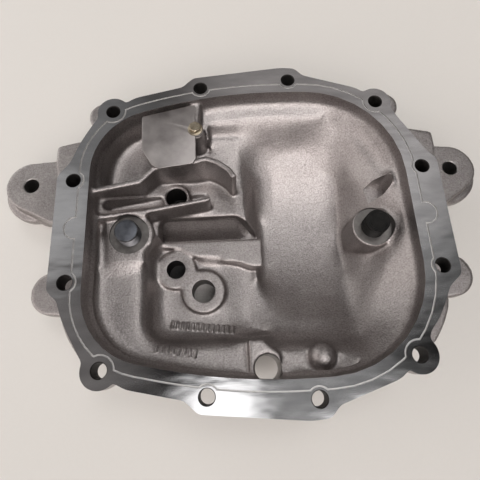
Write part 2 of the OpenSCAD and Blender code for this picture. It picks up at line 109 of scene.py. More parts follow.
class Wiring:
    """One material's node tree, with short calls for the nodes that this scene uses."""

    def __init__(self, name: str) -> None:
        """Starts a material that holds one Principled shader.

        Args:
            name: The material's name.
        """
        self.material = bpy.data.materials.new(name)
        self.material.use_nodes = True
        self.tree = self.material.node_tree
        self.shader = self.tree.nodes["Principled BSDF"]
        self.place = self.node("ShaderNodeTexCoord").outputs["Object"]

    def node(self, kind: str, **settings: object) -> bpy.types.Node:
        """Adds a node.

        Args:
            kind: The node's Blender type.
            settings: Attributes, or values of its inputs where no attribute has that name.

        Returns:
            The new node.
        """
        made = self.tree.nodes.new(kind)
        for key, value in settings.items():
            if hasattr(made, key):
                setattr(made, key, value)
            else:
                made.inputs[key.replace("_", " ")].default_value = value
        return made

    def link(self, source: bpy.types.NodeSocket, target: bpy.types.NodeSocket) -> None:
        """Joins two sockets."""
        self.tree.links.new(source, target)

    def stretched(self, scale: Sequence[float], turn: float = 0.0) -> bpy.types.NodeSocket:
        """The place in the part, scaled along each axis and turned about Z.

        Args:
            scale: The scale along each axis.
            turn: The turn about Z in radians.

        Returns:
            The vector socket.
        """
        mapping = self.node("ShaderNodeMapping")
        mapping.inputs["Scale"].default_value = tuple(scale)
        mapping.inputs["Rotation"].default_value = (0.0, 0.0, turn)
        self.link(self.place, mapping.inputs["Vector"])
        return mapping.outputs["Vector"]

    def noise(
        self, scale: float, detail: float = 2.0, rough: float = 0.5, at: bpy.types.NodeSocket | None = None
    ) -> bpy.types.NodeSocket:
        """A noise over the part.

        Args:
            scale: Waves per metre.
            detail: Octaves.
            rough: How strong the finer octaves are.
            at: The vector that it is read at, or None for the plain place.

        Returns:
            The noise's value socket.
        """
        made = self.node("ShaderNodeTexNoise", Scale=scale, Detail=detail, Roughness=rough)
        self.link(at or self.place, made.inputs["Vector"])
        return made.outputs["Fac"]

    def ramp(
        self, value: bpy.types.NodeSocket, low: float, high: float, dark: Colour, light: Colour
    ) -> bpy.types.NodeSocket:
        """A colour that runs from dark to light as a value runs from low to high.

        Args:
            value: The value's socket.
            low: The value that is dark.
            high: The value that is light.
            dark: The dark colour.
            light: The light colour.

        Returns:
            The colour socket.
        """
        made = self.node("ShaderNodeValToRGB")
        ends = made.color_ramp.elements
        ends[0].position, ends[1].position = low, high
        ends[0].color, ends[1].color = (*dark, 1.0), (*light, 1.0)
        self.link(value, made.inputs["Fac"])
        return made.outputs["Color"]

    def spread(
        self, value: bpy.types.NodeSocket, low: float, high: float, to_low: float, to_high: float
    ) -> bpy.types.NodeSocket:
        """A value's range low to high carried to the range to_low to to_high.

        Args:
            value: The value's socket.
            low: The range's start.
            high: The range's end.
            to_low: What its start becomes.
            to_high: What its end becomes.

        Returns:
            The value socket.
        """
        made = self.node("ShaderNodeMapRange")
        for key, number in zip(("From Min", "From Max", "To Min", "To Max"), (low, high, to_low, to_high)):
            made.inputs[key].default_value = number
        self.link(value, made.inputs["Value"])
        return made.outputs["Result"]

    def emboss(
        self, height: bpy.types.NodeSocket, depth: float, strength: float,
        under: bpy.types.NodeSocket | None = None,
    ) -> bpy.types.NodeSocket:
        """A bump of a given depth, laid on another.

        Args:
            height: The value that is the height.
            depth: The height of a full step, in metres.
            strength: How much of it shows.
            under: The bump below it, if any.

        Returns:
            The normal socket.
        """
        made = self.node("ShaderNodeBump", Strength=strength, Distance=depth)
        self.link(height, made.inputs["Height"])
        if under is not None:
            self.link(under, made.inputs["Normal"])
        return made.outputs["Normal"]

    def feed(self, **sockets: bpy.types.NodeSocket) -> None:
        """Links sockets into the shader's inputs, named with underscores for spaces."""
        for key, socket in sockets.items():
            self.link(socket, self.shader.inputs[key.replace("_", " ")])

    def metal(self, metallic: float = 1.0, roughness: float = 0.4) -> None:
        """Sets the shader's own metallic and roughness values."""
        self.shader.inputs["Metallic"].default_value = metallic
        self.shader.inputs["Roughness"].default_value = roughness


@dataclass(frozen=True)
class BlastedCasting:
    """Grit-blasted cast aluminium: a fine warm-grey grain over slow colour drifts."""

    dark: Colour = (0.250, 0.228, 0.224)
    light: Colour = (0.475, 0.445, 0.436)
    grain: float = 820.0
    grain_depth: float = 0.00034
    grain_share: float = 0.7
    drift: float = 38.0
    skin: float = 160.0
    skin_depth: float = 0.0004

    def material(self) -> bpy.types.Material:
        """Builds the finish.

        Returns:
            The material.
        """
        w = Wiring("blasted_casting")
        w.metal(roughness=0.4)
        grain = w.noise(self.grain, detail=3.0, rough=0.62)
        drift = w.noise(self.drift, detail=4.0, rough=0.6)
        mixed = w.node("ShaderNodeMix", data_type="FLOAT")
        mixed.inputs["Factor"].default_value = self.grain_share
        w.link(drift, mixed.inputs["A"])
        w.link(grain, mixed.inputs["B"])
        w.feed(Base_Color=w.ramp(mixed.outputs["Result"], 0.34, 0.66, self.dark, self.light))
        w.feed(Roughness=w.spread(drift, 0.3, 0.7, 0.36, 0.46))
        skin = w.emboss(w.noise(self.skin, detail=3.0), self.skin_depth, 0.35)
        w.feed(Normal=w.emboss(grain, self.grain_depth, 0.9, under=skin))
        return w.material


@dataclass(frozen=True)
class FacedAluminium:
    """The milled flange face: bright, with the cutter's fine lay, slow waves and cloudy streaks."""

    dark: Colour = (0.50, 0.50, 0.51)
    light: Colour = (0.68, 0.68, 0.69)
    streak: float = 26.0
    lay: float = 1500.0
    lay_depth: float = 0.00002
    wave: float = 27.0
    wave_depth: float = 0.0009

    def material(self) -> bpy.types.Material:
        """Builds the finish.

        Returns:
            The material.
        """
        w = Wiring("faced_aluminium")
        w.metal(roughness=0.1)
        streaks = w.noise(self.streak, detail=4.0, rough=0.55, at=w.stretched((1.0, 3.2, 1.0), 0.5))
        lay = w.noise(self.lay, detail=2.0, at=w.stretched((0.03, 1.0, 1.0), 0.12))
        waves = w.noise(self.wave, detail=2.0, at=w.stretched((1.0, 2.4, 1.0), 0.6))
        w.feed(Base_Color=w.ramp(streaks, 0.3, 0.7, self.dark, self.light))
        w.feed(Roughness=w.spread(streaks, 0.3, 0.7, 0.07, 0.15))
        w.feed(Normal=w.emboss(lay, self.lay_depth, 0.35, under=w.emboss(waves, self.wave_depth, 0.36)))
        return w.material


@dataclass(frozen=True)
class BoredAluminium:
    """Drilled and spot-faced surfaces: smooth, with fine turning rings."""

    colour: Colour = (0.40, 0.39, 0.38)
    dulled: float = 0.86
    ring: float = 1600.0
    ring_depth: float = 0.00003
    blotch: float = 90.0

    def material(self) -> bpy.types.Material:
        """Builds the finish.

        Returns:
            The material.
        """
        w = Wiring("bored_aluminium")
        w.metal(roughness=0.34)
        rings = w.noise(self.ring, detail=1.0, at=w.stretched((0.02, 0.02, 1.0)))
        blotch = w.noise(self.blotch, detail=3.0)
        dull = tuple(self.dulled * c for c in self.colour)
        w.feed(Base_Color=w.ramp(blotch, 0.3, 0.7, dull, self.colour))
        w.feed(Roughness=w.spread(blotch, 0.3, 0.7, 0.36, 0.46))
        w.feed(Normal=w.emboss(rings, self.ring_depth, 0.4))
        return w.material


@dataclass(frozen=True)
class SheetSteel:
    """Plain rolled sheet: satin, with long faint rolling marks and handling marks."""

    dark: Colour = (0.33, 0.305, 0.30)
    light: Colour = (0.50, 0.47, 0.46)
    mark: float = 60.0
    rolling: float = 900.0
    rolling_depth: float = 0.00003

    def material(self) -> bpy.types.Material:
        """Builds the finish.

        Returns:
            The material.
        """
        w = Wiring("sheet_steel")
        w.metal(roughness=0.42)
        marks = w.noise(self.mark, detail=4.0, rough=0.6)
        rolling = w.noise(self.rolling, detail=2.0, at=w.stretched((0.05, 1.0, 1.0), 0.2))
        w.feed(Base_Color=w.ramp(marks, 0.3, 0.7, self.dark, self.light))
        w.feed(Roughness=w.spread(marks, 0.3, 0.7, 0.36, 0.5))
        w.feed(Normal=w.emboss(rolling, self.rolling_depth, 0.5))
        return w.material


@dataclass(frozen=True)
class DullMetal:
    """A small turned part's finish, with mottling and a fine skin."""

    name: str
    dark: Colour
    light: Colour
    roughness: float = 0.4
    metallic: float = 1.0
    mottle: float = 220.0
    skin: float = 1800.0
    skin_depth: float = 0.00004

    def material(self) -> bpy.types.Material:
        """Builds the finish.

        Returns:
            The material.
        """
        w = Wiring(self.name)
        w.metal(self.metallic, self.roughness)
        mottle = w.noise(self.mottle, detail=4.0, rough=0.6)
        w.feed(Base_Color=w.ramp(mottle, 0.32, 0.68, self.dark, self.light))
        w.feed(Roughness=w.spread(mottle, 0.3, 0.7, self.roughness - 0.06, self.roughness + 0.08))
        w.feed(Normal=w.emboss(w.noise(self.skin, detail=2.0), self.skin_depth, 0.6))
        return w.material


ZINC = DullMetal("yellow_zinc", (0.30, 0.25, 0.18), (0.52, 0.46, 0.36), 0.34)
PLUG_STEEL = DullMetal("plug_steel", (0.10, 0.10, 0.105), (0.19, 0.19, 0.20), 0.36)
MAGNET = DullMetal("magnet_face", (0.095, 0.10, 0.115), (0.145, 0.155, 0.175), 0.42)
BLACKENED = DullMetal("blackened_steel", (0.007, 0.007, 0.007), (0.020, 0.019, 0.018), 0.45, 0.85)
GROOVE = DullMetal("sealant_groove", (0.46, 0.455, 0.45), (0.62, 0.61, 0.60), 0.5, 0.95)
# Darker than the bored finish: painted shade in the wide drilling and the plug seats.
DRILLED = DullMetal("drilled", (0.16, 0.15, 0.145), (0.24, 0.23, 0.22), 0.5, 0.9)
# Near black: painted shade on the walls of the flange's bolt holes and the two deep drillings.
SHADE_PAINTED_BORE = DullMetal("bore_painted_shade", (0.012, 0.011, 0.011), (0.035, 0.032, 0.030), 0.6, 0.6)
COPPER = DullMetal("copper_seal", (0.42, 0.20, 0.12), (0.72, 0.40, 0.27), 0.36)


@dataclass(frozen=True)
class TableTop:
    """The pale table: a smooth matt laminate."""

    colour: Colour = (0.74, 0.72, 0.685)
    fleck: float = 420.0
    fleck_tone: float = 0.985

    def material(self) -> bpy.types.Material:
        """Builds the finish.

        Returns:
            The material.
        """
        w = Wiring("table_top")
        w.metal(0.0, 0.55)
        darker = tuple(self.fleck_tone * c for c in self.colour)
        w.feed(Base_Color=w.ramp(w.noise(self.fleck, detail=3.0), 0.2, 0.8, darker, self.colour))
        w.shader.inputs["Specular IOR Level"].default_value = 0.2
        return w.material


# Shapes


@dataclass
class Shape:
    """A closed mesh in millimetres, made of points and faces."""

    points: list[Point3] = field(default_factory=list)
    faces: list[tuple[int, ...]] = field(default_factory=list)

    def join(self, other: Shape) -> Shape:
        """Adds another shape's mesh to this one.

        Args:
            other: The shape to add.

        Returns:
            This shape.
        """
        start = len(self.points)
        self.points += other.points
        self.faces += [tuple(i + start for i in face) for face in other.faces]
        return self

    def moved(self, x: float, y: float) -> Shape:
        """A copy of the shape moved across the cover."""
        return Shape([(p[0] + x, p[1] + y, p[2]) for p in self.points], list(self.faces))

    def mesh(self, name: str) -> bpy.types.Mesh:
        """A Blender mesh of the shape, in metres.

        Args:
            name: The mesh's name.

        Returns:
            The mesh.
        """
        made = bpy.data.meshes.new(name)
        made.from_pydata([(x * MM, y * MM, z * MM) for x, y, z in self.points], [], self.faces)
        made.update()
        return made


def turned(profile: Sequence[Point2], steps: int = 64) -> Shape:
    """Turns a profile about the Z axis into a closed shape.

    Args:
        profile: Radius and height pairs, from the bottom up. Ends of radius 0 close in a point.
        steps: Sides of the turned surface.

    Returns:
        The shape, with flat caps where the profile's ends have a radius.
    """
    made = Shape()
    rings: list[list[int]] = []
    for r, z in profile:
        start = len(made.points)
        if r < ON_AXIS:
            made.points.append((0.0, 0.0, z))
            rings.append([start] * steps)
            continue
        angles = (2 * math.pi * k / steps for k in range(steps))
        made.points += [(r * math.cos(a), r * math.sin(a), z) for a in angles]
        rings.append(list(range(start, start + steps)))
    for low, high in zip(rings, rings[1:]):
        for k in range(steps):
            n = (k + 1) % steps
            loop = list(dict.fromkeys((low[k], low[n], high[n], high[k])))
            if len(loop) > 2:
                made.faces.append(tuple(loop))
    if profile[0][0] > ON_AXIS:
        made.faces.append(tuple(reversed(rings[0])))
    if profile[-1][0] > ON_AXIS:
        made.faces.append(tuple(rings[-1]))
    return made


def rectangle(half_x: float, half_y: float) -> list[Point2]:
    """A rectangle's corners, anticlockwise."""
    return [(-half_x, -half_y), (half_x, -half_y), (half_x, half_y), (-half_x, half_y)]


def lifted(outline: Sequence[Point2], low: float, high: float) -> Shape:
    """A prism of an outline between two heights.

    Args:
        outline: Its corners, anticlockwise from above.
        low: The height of its foot.
        high: The height of its top.

    Returns:
        The prism.
    """
    n = len(outline)
    points = [(x, y, z) for z in (low, high) for x, y in outline]
    sides = [(k, (k + 1) % n, n + (k + 1) % n, n + k) for k in range(n)]
    return Shape(points, [tuple(reversed(range(n))), tuple(range(n, 2 * n)), *sides])


def rounded(corners: Sequence[Point3], steps: int = 8) -> list[Point2]:
    """An outline whose corners are rounded.

    Args:
        corners: Each corner's x, y and radius, anticlockwise.
        steps: Parts of each corner's arc.

    Returns:
        The outline's points.
    """
    outline: list[Point2] = []
    for i, (x, y, radius) in enumerate(corners):
        here = Vector((x, y))
        back = (Vector(corners[i - 1][:2]) - here).normalized()
        ahead = (Vector(corners[(i + 1) % len(corners)][:2]) - here).normalized()
        half = back.angle(ahead) / 2
        middle = here + (back + ahead).normalized() * radius / math.sin(half)
        first = here + back * radius / math.tan(half) - middle
        last = here + ahead * radius / math.tan(half) - middle
        sweep = first.angle_signed(last)
        for k in range(steps + 1):
            spoke = first.copy()
            spoke.rotate(Matrix.Rotation(-sweep * k / steps, 2))
            outline.append(tuple(middle + spoke))
    return outline


def placed(mesh: bpy.types.Mesh, name: str, materials: Sequence[bpy.types.Material]) -> bpy.types.Object:
    """Puts a mesh in the scene as an object with its materials.

    Args:
        mesh: The mesh.
        name: The object's name.
        materials: Its materials, in the order of their slots.

    Returns:
        The object.
    """
    made = bpy.data.objects.new(name, mesh)
    for material in materials:
        mesh.materials.append(material)
    bpy.context.scene.collection.objects.link(made)
    return made


def applied(piece: bpy.types.Object, kind: str, **settings: object) -> None:
    """Runs one modifier on an object and keeps its result as the object's mesh.

    Args:
        piece: The object.
        kind: The modifier's type.
        settings: The modifier's attributes.
    """
    modifier = piece.modifiers.new(kind.lower(), kind)
    for key, value in settings.items():
        setattr(modifier, key, value)
    graph = bpy.context.evaluated_depsgraph_get()
    result = bpy.data.meshes.new_from_object(piece.evaluated_get(graph), depsgraph=graph)
    piece.modifiers.remove(modifier)
    old, piece.data = piece.data, result
    result.name = piece.name
    bpy.data.meshes.remove(old)


def carved(piece: bpy.types.Object, shape: Shape, surface: Surface) -> None:
    """Cuts a shape out of an object and gives the new faces a finish.

    Args:
        piece: The object that is cut.
        shape: The closed cutting shape, in millimetres.
        surface: The finish that it leaves.
    """
    mesh = shape.mesh("tool")
    cutter = placed(mesh, "tool", list(piece.data.materials))
    mesh.polygons.foreach_set("material_index", np.full(len(mesh.polygons), surface.value, dtype=np.int32))
    applied(piece, "BOOLEAN", object=cutter, operation="DIFFERENCE", solver="MANIFOLD")
    bpy.data.objects.remove(cutter)
    bpy.data.meshes.remove(mesh)


def shaded(piece: bpy.types.Object, angle: float = 35.0) -> None:
    """Smooths an object's shading, apart from its sharp edges.

    Args:
        piece: The object.
        angle: The least angle of a sharp edge, in degrees.
    """
    mesh = piece.data
    mesh.polygons.foreach_set("use_smooth", np.ones(len(mesh.polygons), dtype=bool))
    mesh.set_sharp_from_angle(angle=math.radians(angle))
    mesh.update()


# The casting


def grade(value: np.ndarray, start: float, span: float) -> np.ndarray:
    """Runs from 0 where a value is at its start to 1 where it is a span past it."""
    return np.clip((value - start) / span, 0.0, 1.0)


def run_gap(start: Point2, end: Point2, x: np.ndarray, y: np.ndarray) -> np.ndarray:
    """The distance of points from the straight run between two places.

    Args:
        start: The run's first end, in millimetres.
        end: Its other end.
        x: The points' places across.
        y: The points' places up the cover.

    Returns:
        One distance a point.
    """
    over, up = x - start[0], y - start[1]
    run = np.array((end[0] - start[0], end[1] - start[1]), dtype=float)
    along = np.clip((over * run[0] + up * run[1]) / max(run @ run, NO_LENGTH), 0.0, 1.0)
    return np.hypot(over - along * run[0], up - along * run[1])


def gap_to(bars: Sequence[Bar], x: np.ndarray, y: np.ndarray) -> np.ndarray:
    """The distance of points from the nearest of some rounded bars, negative inside one.

    Args:
        bars: The bars.
        x: The points' places across, in millimetres.
        y: The points' places up the cover.

    Returns:
        One distance a point.
    """
    gap = np.full(len(x), FAR)
    for x0, y0, x1, y1, half in bars:
        gap = np.minimum(gap, run_gap((x0, y0), (x1, y1), x, y) - half)
    return gap


@dataclass(frozen=True)
class Hollow:
    """A soft hollow along a line in the bowl, with its own reach on each side of the line."""

    path: tuple[Point2, ...]
    left: float
    right: float
    depth: float
    ceiling: float = math.inf
    ceiling_fade: float = 5.0

    def drop(self, x: np.ndarray, y: np.ndarray) -> np.ndarray:
        """How far the hollow lowers each point, in millimetres.

        Args:
            x: The points' places across.
            y: The points' places up the cover.

        Returns:
            One drop a point.
        """
        nearest = np.full(len(x), FAR)
        side = np.ones(len(x))
        for (x0, y0), (x1, y1) in zip(self.path, self.path[1:]):
            gap = run_gap((x0, y0), (x1, y1), x, y)
            turn = (x1 - x0) * (y - y0) - (y1 - y0) * (x - x0)
            side = np.where(gap < nearest, turn, side)
            nearest = np.minimum(nearest, gap)
        near = np.clip(nearest / np.where(side > 0, self.left, self.right), 0.0, 1.0)
        return self.depth * (1 - near * near) ** 2

    def reached(self, z: np.ndarray) -> np.ndarray:
        """How far points lie under the hollow's ceiling, from 0 to 1."""
        return grade(-z, -self.ceiling, self.ceiling_fade)


@dataclass(frozen=True)
class TickRow:
    """A row of plain raised bars, each a share of the row's pitch wide, with soft edges."""

    start: Point2
    end: Point2
    count: int
    tall: float
    rise: float = 1.15
    wide: float = 0.5
    edge: float = 0.7

    def lift(self, x: np.ndarray, y: np.ndarray) -> np.ndarray:
        """How far the bars raise each point, in millimetres.

        Args:
            x: The points' places across.
            y: The points' places up the cover.

        Returns:
            One lift a point.
        """
        run = np.array((self.end[0] - self.start[0], self.end[1] - self.start[1]))
        length = float(np.hypot(*run))
        run /= length
        u = (x - self.start[0]) * run[0] + (y - self.start[1]) * run[1]
        v = (y - self.start[1]) * run[0] - (x - self.start[0]) * run[1]
        pitch = length / self.count
        off = np.abs(u % pitch - pitch / 2)
        across = np.clip((self.wide * pitch / 2 - off) / self.edge + 0.5, 0.0, 1.0)
        up = np.clip((self.tall / 2 - np.abs(v)) / self.edge + 0.5, 0.0, 1.0)
        return self.rise * across * up * ((u > 0) & (u < length))


@dataclass(frozen=True)
class PocketSlope:
    """The slope from the deep pocket's floor up its upper wall, which fades out at its right end."""

    left: float = -72.5
    right: float = 2.0
    fade: float = 12.0
    lower_y: float = 0.5
    wall_y: float = 19.5
    past_wall: float = 1.5
    floor_z: float = -60.0
    top_z: float = -37.0
    reach: float = 13.0
    rise: float = 18.0
    curve: float = 1.1
    least_facing: float = -0.2

    def fill(self, at: np.ndarray, outward: np.ndarray) -> None:
        """Lifts the points that lie under the slope.

        Args:
            at: The points in metres, which are changed.
            outward: The points' outward normals.
        """
        x, y, z = (at / MM).T
        climb = grade(y, self.wall_y - self.reach, self.reach)
        slope = self.floor_z + self.rise * climb ** self.curve * grade(-x, -self.right, self.fade)
        inside = (x > self.left) & (x < self.right) & (z < self.top_z)
        inside &= (y > self.lower_y) & (y < self.wall_y + self.past_wall)
        inside &= outward[:, 2] > self.least_facing
        at[:, 2] = np.where(inside, np.maximum(at[:, 2], slope * MM), at[:, 2])


@dataclass(frozen=True)
class LeaningSide:
    """The bowl's right side, which leans out from its foot and rises towards its ends."""

    foot_x: float = 80.0
    foot_z: float = -55.9
    lean: float = 1.42
    bend: float = 0.005
    top: float = -9.0

    def height(self, x: float, y: float) -> float:
        """The side's height at a place, in millimetres."""
        return self.foot_z + self.lean * (x - self.foot_x) + self.bend * y * y

    def fill(self, outline: Sequence[Point2], low: float, least: float) -> Shape:
        """A prism whose top follows the side.

        Args:
            outline: Its corners.
            low: Its floor.
            least: The lowest that its top may be.

        Returns:
            The prism.
        """
        foot = [(x, y, low) for x, y in outline]
        tops = [(x, y, min(self.top, max(least, self.height(x, y)))) for x, y in outline]
        return Shape(foot + tops, lifted(outline, low, 0.0).faces)


@dataclass(frozen=True)
class PlugSeat:
    """Where a plug goes: its axis, the height of its spot face and that of the lip round it."""

    at: Point2
    spot_z: float
    lip_z: float


@dataclass(frozen=True)
class Drilling:
    """A blind hole from the open side: its axis, radius, floor, mouth and finish."""

    at: Point2
    r: float
    floor: float
    mouth: float
    surface: Surface


@dataclass(frozen=True)
class Net:
    """A mesh's edges, by which its points are smoothed."""

    a: np.ndarray
    b: np.ndarray
    count: int

    @cached_property
    def neighbours(self) -> np.ndarray:
        """How many neighbours each point has, as a column."""
        both = np.bincount(self.a, minlength=self.count) + np.bincount(self.b, minlength=self.count)
        return np.maximum(both, 1)[:, None]

    def pull(self, at: np.ndarray) -> np.ndarray:
        """How far each point lies from the middle of its neighbours.

        Args:
            at: The points.

        Returns:
            One move a point.
        """
        total = np.empty_like(at)
        for k, values in enumerate(at.T):
            from_b = np.bincount(self.a, values[self.b], self.count)
            from_a = np.bincount(self.b, values[self.a], self.count)
            total[:, k] = from_b + from_a
        return total / self.neighbours - at


@dataclass
class CoverCasting:
    """The cast and machined cover.

    The stock's bores are filled past their walls while it is blended. A bar in
    crisp keeps its edges, and one in wide_blends is smoothed further. A pair
    of pulls is the share for a crisp point and what softness adds to it. The
    facing and depth pairs are where a change starts and the span that it takes.
    """

    voxel: float = 0.9
    quick_voxel: float = 1.6
    triangles: int = 165000
    fillet_passes: int = 130
    wide_passes: int = 260
    fewest_passes: int = 12
    normals_every: int = 8
    hollow_pull: Pair = (0.07, 0.53)
    edge_pull: Pair = (0.035, 0.51)
    wide_pull: float = 0.6
    pan_half: Pair = (115.0, 106.0)
    bowl_half: Pair = (112.0, 104.0)
    least_facing: float = -0.1
    facing: Pair = (0.1, 0.3)
    press_depth: Pair = (8.0, 5.0)
    soft_depth: Pair = (10.0, 7.0)
    crisp_fade: float = 6.0
    wide_fade: float = 5.0
    machining_stock: float = 3.0
    past_wall: float = 1.0
    short_of_face: float = 0.6
    back: float = -72.0
    bolt_r: float = 5.0
    bolt_chamfer: float = 0.5
    bolt_pad_back: float = -13.0
    slab: Point3 = (220.0, 150.0, 20.0)
    ear_bores: tuple[Point2, ...] = ((-171.0, 48.0), (163.0, 48.0))
    ear_bore_r: float = 5.8
    ear_top: float = -26.0
    ear_chamfer: float = 0.7
    plug_seats: tuple[PlugSeat, ...] = (
        PlugSeat(LEVEL_PLUG_AT, spot_z=-21.0, lip_z=-19.0),
        PlugSeat(FILL_PLUG_AT, spot_z=-23.5, lip_z=-22.0),
    )
    plug_bore_r: float = 8.85
    plug_boss_z: float = -68.0
    spot_r: float = 14.8
    spot_depth: float = 6.0
    seat_z: float = -62.0
    seat_r: float = 15.0
    lip_r: float = 15.1
    lip_sides: int = 48
    drain_at: Point2 = (6.0, -98.0)
    drain_r: float = 9.0
    drain_top: float = -7.0
    # Holes here with the DEEP or DRILLED finish get painted shade on their walls.
    drillings: tuple[Drilling, ...] = (
        Drilling((-57.2, 34.0), 8.0, -53.0, -37.4, Surface.DEEP),
        Drilling((-59.2, -21.6), 7.4, -59.0, -42.6, Surface.DEEP),
        Drilling((-38.1, -39.5), 9.0, -60.0, -42.6, Surface.DRILLED),
        Drilling((-38.6, 77.4), 2.55, -18.0, -4.6, Surface.BORED),
    )
    drill_point: float = 0.25
    drill_top: float = -3.0
    spot_top: float = -2.0
    wide_blends: tuple[Bar, ...] = (
        (64, 0, 66, -34, 10), (66, -34, 80, -52, 12), (84, -34, 70, -66, 12), (62, 12, 64, 0, 8),
        (6, 72, 24, 84, 12), (66, 48, 66, 12, 10), (14, 64, 14, 22, 8), (13, -26, 13, -62, 7),
        (-106, -25, -80, -25, 5), (-111, 8, -111, -20, 4), (0, 88, 30, 88, 8), (62, 80, 78, 66, 12),
        (5, -30, 9, -66, 12),
    )
    hollows: tuple[Hollow, ...] = (
        Hollow(((0, -14), (-1, -24), (-1, -42), (0, -58), (4, -70)), 8.0, 26.0, 4.2, ceiling=-40.8),
        Hollow(((67.5, 92.0), (80.6, 85.4), (91.7, 76.1), (100.3, 62.4), (106.0, 45.0)), 6.5, 6.5, 1.0),
        Hollow(((-27.0, 85.3), (-4.0, 85.8), (14.0, 83.8)), 5.0, 5.0, 1.1),
        Hollow(((95.0, -19.7), (88.3, -33.9), (79.4, -51.9), (69.0, -70.6)), 9.0, 9.0, 1.2),
    )
    pocket: PocketSlope = PocketSlope()
    side: LeaningSide = LeaningSide()
    ticks: tuple[TickRow, ...] = (
        TickRow((-64.0, -63.5), (-15.0, -70.0), 13, 6.0),
        TickRow((-72.0, -81.0), (-41.0, -86.5), 8, 5.5),
    )
    notch: tuple[Point3, ...] = (
        (86, 21.6, 3), (93, 21.6, 5), (103, 24.5, 5), (109, 31.0, 6), (107.4, 39.2, 4.5), (98.4, 38.8, 5),
        (86, 30.6, 2),
    )
    notch_fill: tuple[Point2, ...] = (
        (94.6, 21.4), (103.2, 24.0), (109.3, 31.0), (107.8, 39.6), (98.4, 39.2), (94.6, 36.6)
    )
    notch_z: float = -32.0
    notch_top: float = -8.0
    groove_floor: float = -0.8
    groove_under: float = 0.1
    crisp: tuple[Bar, ...] = (
        (-112, 30, -80, 36, 9), (-80, 36, -68, 47, 9), (-68, 47, -30, 52, 9), (-30, 52, -12, 38, 8),
        (-110, 24, -34, 36, 8), (-112, 13, -30, 26, 8), (-38.6, 77.4, -38.6, 100, 9),
        (*LEVEL_PLUG_AT, *LEVEL_PLUG_AT, 15), (-66, -2, 6, -2, 9), (-14, -19, 6, -22, 8),
        (-66, 9, 0, 13, 13), (-59.2, -21.6, -59.2, -21.6, 17), (-38.1, -39.5, -38.1, -39.5, 19),
        (6, -98, 2, -84, 14), (43.5, -92, 43.5, -92, 11), (*FILL_PLUG_AT, *FILL_PLUG_AT, 19),
    )

    def build(self) -> bpy.types.Object:
        """Builds the casting, machines it and dresses it.

        Returns:
            The finished piece.
        """
        finishes = {
            Surface.CAST: BlastedCasting(),
            Surface.FACED: FacedAluminium(),
            Surface.BORED: BoredAluminium(),
            Surface.DEEP: SHADE_PAINTED_BORE,
            Surface.DRILLED: DRILLED,
            Surface.GROOVE: GROOVE,
        }
        stock, groove = self._stock(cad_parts["cover_casting"].data)
        piece = placed(stock, "casting", [finishes[surface].material() for surface in Surface])
        applied(piece, "REMESH", mode="VOXEL", voxel_size=self._pitch() * MM, adaptivity=0.0)
        log.info("casting: %d points after the remesh", len(piece.data.vertices))
        self._blend(piece.data)
        applied(piece, "DECIMATE", ratio=min(1.0, self.triangles / (2 * len(piece.data.polygons))))
        log.info("casting: %d triangles after thinning", len(piece.data.polygons))
        self._machine(piece, groove)
        shaded(piece, 38.0)
        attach(piece, "root")
        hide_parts("cover_casting")
        return piece

    def _pitch(self) -> float:
        return self.voxel

    def _passes(self, full: int) -> int:
        """How many smoothing passes a coarser net needs for the same reach."""
        return max(self.fewest_passes, round(full * (self.voxel / self._pitch()) ** 2))

    def _stock(self, cad: bpy.types.Mesh) -> tuple[bpy.types.Mesh, Shape]:
        """Turns the CAD solid back into unmachined stock.

        Args:
            cad: The CAD node's mesh, which is copied.

        Returns:
            The stock, with more on the flange and its bores filled, and the sealant groove as a
            cutting shape.
        """
        bm = bmesh.new()
        bm.from_mesh(cad)
        bmesh.ops.remove_doubles(bm, verts=bm.verts, dist=SAME_POINT)
        groove = self._groove_tool(bm)
        cut = (self.groove_floor - self.groove_under) * MM
        level, up = (0, 0, cut), (0, 0, 1)
        everything = bm.verts[:] + bm.edges[:] + bm.faces[:]
        bmesh.ops.bisect_plane(bm, geom=everything, plane_co=level, plane_no=up, clear_outer=True)
        rim = [e for e in bm.edges if e.is_boundary and all(abs(v.co.z - cut) < SAME_POINT for v in e.verts)]
        raised = bmesh.ops.extrude_edge_only(bm, edges=rim)["geom"]
        for v in (g for g in raised if isinstance(g, bmesh.types.BMVert)):
            v.co.z = self.machining_stock * MM
        top = [e for e in bm.edges if e.is_boundary]
        bmesh.ops.triangle_fill(bm, use_beauty=True, use_dissolve=False, edges=top)
        bmesh.ops.recalc_face_normals(bm, faces=bm.faces)
        fill = self._fill_mesh()
        bm.from_mesh(fill)
        bpy.data.meshes.remove(fill)
        stock = bpy.data.meshes.new("stock")
        bm.to_mesh(stock)
        bm.free()
        return stock, groove

    def _groove_tool(self, bm: bmesh.types.BMesh) -> Shape:
        """The sealant groove as a closed cutting shape, lifted from the groove's floor in the CAD.

        Args:
            bm: The CAD solid's mesh.

        Returns:
            The groove, from its floor to well above the flange.
        """
        level, clear = self.groove_floor * MM, 2 * self.machining_stock
        upward = (f for f in bm.faces if f.normal.z > 0.9)
        floor = [f for f in upward if all(abs(v.co.z - level) < 10 * SAME_POINT for v in f.verts)]
        index = {v: i for i, v in enumerate(dict.fromkeys(v for f in floor for v in f.verts))}
        n = len(index)
        loops = [[index[v] for v in f.verts] for f in floor]
        faces = [face for loop in loops for face in (tuple(reversed(loop)), tuple(i + n for i in loop))]
        edges = dict.fromkeys(edge for loop in loops for edge in zip(loop, loop[1:] + loop[:1]))
        faces += [(a, b, b + n, a + n) for a, b in edges if (b, a) not in edges]
        points = [(v.co.x / MM, v.co.y / MM, z) for z in (self.groove_floor, clear) for v in index]
        return Shape(points, faces)

    def _fill_mesh(self) -> bpy.types.Mesh:
        """Plugs of metal over every hole, so that the blends don't round the bores' edges.

        Returns:
            The plugs as one mesh.
        """
        fill = Shape()

        def plug(at: Point2, r: float, low: float, high: float) -> None:
            """Adds one round plug."""
            fill.join(turned([(r, low), (r, high)]).moved(*at))

